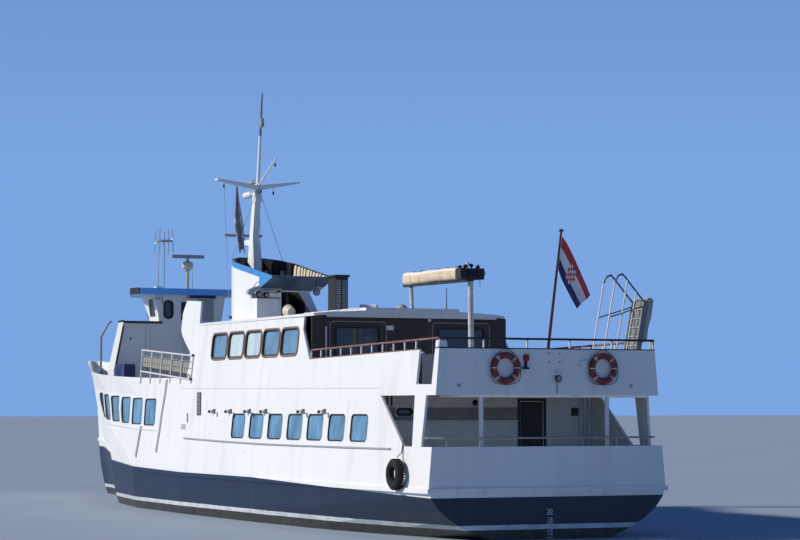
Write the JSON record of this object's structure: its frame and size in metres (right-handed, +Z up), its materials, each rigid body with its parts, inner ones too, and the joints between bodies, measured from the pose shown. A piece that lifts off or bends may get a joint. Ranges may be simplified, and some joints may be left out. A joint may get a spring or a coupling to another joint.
{
  "type": "passenger ferry",
  "caption": "Passenger ferry afloat: raked bow, full-width saloon, small wheelhouse forward, bullet funnel with a mast, open after deck, rails and a folding gangway.",
  "frame": {"origin": "on the centreline at the waterline, half way between the transom and the stem at the waterline", "axes": "+X towards the bow, +Y to port, +Z up"},
  "size_m": [36.5864, 6.7618, 14.6032],
  "materials": {
    "azure_finish": "gloss enamel",
    "black_finish": "satin black",
    "bronze_finish": "cast bronze",
    "brown_finish": "dark brown varnish-coloured paint",
    "cream_finish": "weathered canvas",
    "deck_finish": "matt non-slip deck paint",
    "grey_finish": "satin grey",
    "navy_finish": "semi-gloss marine enamel",
    "red_finish": "faded dark red",
    "rubber_finish": "worn tyre rubber",
    "rust_finish": "faded red-brown primer",
    "steel_finish": "bare galvanised",
    "white_finish": "semi-gloss marine enamel",
    "wood_finish": "dark varnished timber"
  },
  "bodies": {
    "ship": {"hull": "navy_finish", "engine": "grey_finish", "main_deck": "deck_finish", "upper_deck": "deck_finish", "lower_plating_port": "white_finish", "lower_plating_starboard": "white_finish", "bow_plating_port": "white_finish", "bow_plating_starboard": "white_finish", "upper_plating": "white_finish", "saloon_roof": "white_finish", "upper_saloon_aft_wall": "brown_finish", "upper_saloon_front": "white_finish", "main_saloon_aft_wall": "grey_finish", "aft_pillars": "white_finish", "stern_handrail": "steel_finish", "promenade_rail": "rust_finish", "starboard_rail": "rust_finish", "forward_house": "white_finish", "wheelhouse": "white_finish", "wheelhouse_roof": "azure_finish", "funnel": "white_finish", "mast": "white_finish", "exhaust_pipes": "black_finish", "ventilator_box": "black_finish", "cowl_vent": "cream_finish", "mushroom_vent": "white_finish", "awning_frame": "steel_finish", "awning_roll": "cream_finish", "radar_pedestal": "cream_finish", "loop_antenna": "steel_finish", "flagstaff": "wood_finish", "ensign": "red_finish", "lifebuoy_port": "red_finish", "lifebuoy_starboard": "red_finish", "gangway_bracket": "grey_finish", "well_rail_port": "white_finish", "well_rail_starboard": "white_finish", "bridge_stairs": "grey_finish", "davit_step": "grey_finish", "windlass_bed": "black_finish", "fore_bollards": "black_finish", "hatch_coaming": "white_finish", "tyre_fender": "rubber_finish", "after_benches": "cream_finish"},
    "propeller": {"propeller": "bronze_finish"},
    "rudder": {"rudder": "navy_finish"},
    "upper_saloon_door": {"upper_saloon_door": "brown_finish"},
    "main_saloon_door": {"main_saloon_door": "brown_finish"},
    "wheelhouse_door": {"wheelhouse_door": "grey_finish"},
    "radar": {"radar_scanner": "grey_finish"},
    "mast_radar": {"mast_radar_scanner": "grey_finish"},
    "davit": {"bow_davit": "grey_finish"},
    "windlass": {"windlass_drum": "grey_finish"},
    "hatch_lid": {"hatch_lid": "white_finish"},
    "gate": {"gate_leaf": "grey_finish"},
    "gangway": {"gangway": "grey_finish"}
  },
  "joints": [
    {"name": "propeller_shaft", "type": "hinge", "parent": "ship", "child": "propeller", "pos_m": [-15.15, 0, -1.35], "axis": [1, 0, 0], "continuous": true},
    {"name": "rudder_stock", "type": "hinge", "parent": "ship", "child": "rudder", "pos_m": [-16.35, 0, -0.3], "axis": [0, 0, 1], "range_deg": [-35, 35]},
    {"name": "upper_saloon_door_hinge", "type": "hinge", "parent": "ship", "child": "upper_saloon_door", "pos_m": [-9.9, 0.412, 4.4], "axis": [0, 0, 1], "range_deg": [-110, 0]},
    {"name": "main_saloon_door_hinge", "type": "hinge", "parent": "ship", "child": "main_saloon_door", "pos_m": [-14.45, -0.878, 2.2], "axis": [0, 0, 1], "range_deg": [-110, 0]},
    {"name": "wheelhouse_door_hinge", "type": "hinge", "parent": "ship", "child": "wheelhouse_door", "pos_m": [7.3, -0.238, 6.3], "axis": [0, 0, 1], "range_deg": [-110, 0]},
    {"name": "radar_turning_gear", "type": "hinge", "parent": "ship", "child": "radar", "pos_m": [7.6, 0, 7.9], "axis": [0, 0, 1], "continuous": true},
    {"name": "mast_radar_turning_gear", "type": "hinge", "parent": "ship", "child": "mast_radar", "pos_m": [2.5, 0, 8.3], "axis": [0, 0, 1], "continuous": true},
    {"name": "davit_swivel", "type": "hinge", "parent": "ship", "child": "davit", "pos_m": [14.45, 0.79, 4.2], "axis": [0, 0, 1], "range_deg": [-110, 110]},
    {"name": "windlass_shaft", "type": "hinge", "parent": "ship", "child": "windlass", "pos_m": [13.2, 0, 4.3996], "axis": [0, 1, 0], "continuous": true},
    {"name": "hatch_hinge", "type": "hinge", "parent": "ship", "child": "hatch_lid", "pos_m": [11.33, 0, 4.1534], "axis": [0, 1, 0], "range_deg": [-100, 0]},
    {"name": "gate_hinge", "type": "hinge", "parent": "ship", "child": "gate", "pos_m": [-16.6, 2.8, 4], "axis": [0, 0, 1], "range_deg": [-90, 0]},
    {"name": "gangway_hinge", "type": "hinge", "parent": "ship", "child": "gangway", "pos_m": [-16.98, -2.47, 3.7], "axis": [1, 0, 0], "range_deg": [0, 79]}
  ]
}
